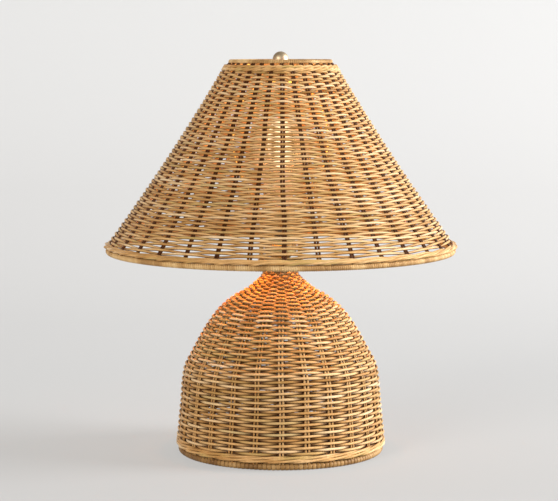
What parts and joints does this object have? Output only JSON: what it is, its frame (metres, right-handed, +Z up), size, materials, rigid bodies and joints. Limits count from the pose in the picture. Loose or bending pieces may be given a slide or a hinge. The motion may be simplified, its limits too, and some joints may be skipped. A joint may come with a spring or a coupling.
{
  "type": "table lamp with woven shade",
  "caption": "Table lamp with a bottle-shaped woven rattan base and a conical woven shade carried on a harp.",
  "frame": {"origin": "centre of the foot, on the surface the lamp stands on", "axes": "+Z up along the lamp's middle, front towards -Y, the harp's plane along X"},
  "size_m": [0.4092, 0.4092, 0.4673],
  "materials": {
    "rattan_core": "natural round rattan core, clear matt lacquer",
    "rattan_peel": "flat rattan peel, satin",
    "hoop_steel": "plain steel rod hoop, hidden in its wrapping",
    "brass": "satin, brass plated",
    "champagne_brass": "satin antique brass",
    "zinc_steel": "zinc plated",
    "nickel_shell": "nickel plated",
    "cast_iron": "as cast, painted black",
    "plywood": "unfinished birch plywood",
    "felt": "wool felt",
    "phenolic": "moulded phenolic",
    "insulating_card": "pressed fibre card",
    "frosted_glass": "inside frosted",
    "black_plastic": "moulded, satin"
  },
  "bodies": {
    "base": {"base_weave": "rattan_core", "base_foot_hoop": "hoop_steel", "base_foot_binding": "rattan_peel", "base_felt": "felt", "base_board": "plywood", "base_weight": "cast_iron", "pipe_washer": "zinc_steel", "pipe_nut_lower": "zinc_steel", "pipe_nut_upper": "zinc_steel", "lamp_pipe": "zinc_steel", "neck_cap": "brass", "rear_cord_bushing": "black_plastic", "harp_saddle": "brass", "socket_cap": "brass", "socket_shell": "brass", "socket_liner": "insulating_card", "socket_interior": "phenolic", "socket_screw_shell": "brass", "socket_centre_contact": "brass"},
    "switch": {"switch_stem": "zinc_steel", "switch_knob": "black_plastic"},
    "bulb": {"bulb_contact": "brass", "bulb_screw_base": "nickel_shell", "bulb_globe": "frosted_glass"},
    "harp": {"harp_wire": "brass", "harp_bush": "brass"},
    "sleeve_left": {"harp_sleeve_left": "brass"},
    "sleeve_right": {"harp_sleeve_right": "brass"},
    "stud": {"harp_stud": "brass"},
    "shade": {"shade_weave": "rattan_core", "shade_bottom_hoop": "hoop_steel", "shade_bottom_binding": "rattan_peel", "shade_top_hoop": "hoop_steel", "shade_top_binding": "rattan_peel", "spider_washer": "brass", "spider_arm_1": "brass", "spider_arm_2": "brass", "spider_arm_3": "brass"},
    "finial": {"finial": "champagne_brass"}
  },
  "joints": [
    {"name": "switch_turn", "type": "hinge", "parent": "base", "child": "switch", "pos_m": [0, -0.0343, 0.2583], "axis": [0, -1, 0], "continuous": true},
    {"name": "bulb_unscrew", "type": "slide", "parent": "base", "child": "bulb", "axis": [0, 0, 1], "range_m": [0, 0.028]},
    {"name": "harp_lift", "type": "slide", "parent": "base", "child": "harp", "axis": [0, 0, 1], "range_m": [0, 0.03]},
    {"name": "sleeve_left_lift", "type": "slide", "parent": "harp", "child": "sleeve_left", "axis": [0, 0, 1], "range_m": [0, 0.02]},
    {"name": "sleeve_right_lift", "type": "slide", "parent": "harp", "child": "sleeve_right", "axis": [0, 0, 1], "range_m": [0, 0.02]},
    {"name": "shade_swivel", "type": "hinge", "parent": "harp", "child": "stud", "pos_m": [0, 0, 0.4418], "axis": [0, 0, 1], "continuous": true},
    {"name": "shade_lift", "type": "slide", "parent": "stud", "child": "shade", "axis": [0, 0, 1], "range_m": [0, 0.25]},
    {"name": "finial_unscrew", "type": "slide", "parent": "shade", "child": "finial", "axis": [0, 0, 1], "range_m": [0, 0.012]}
  ]
}
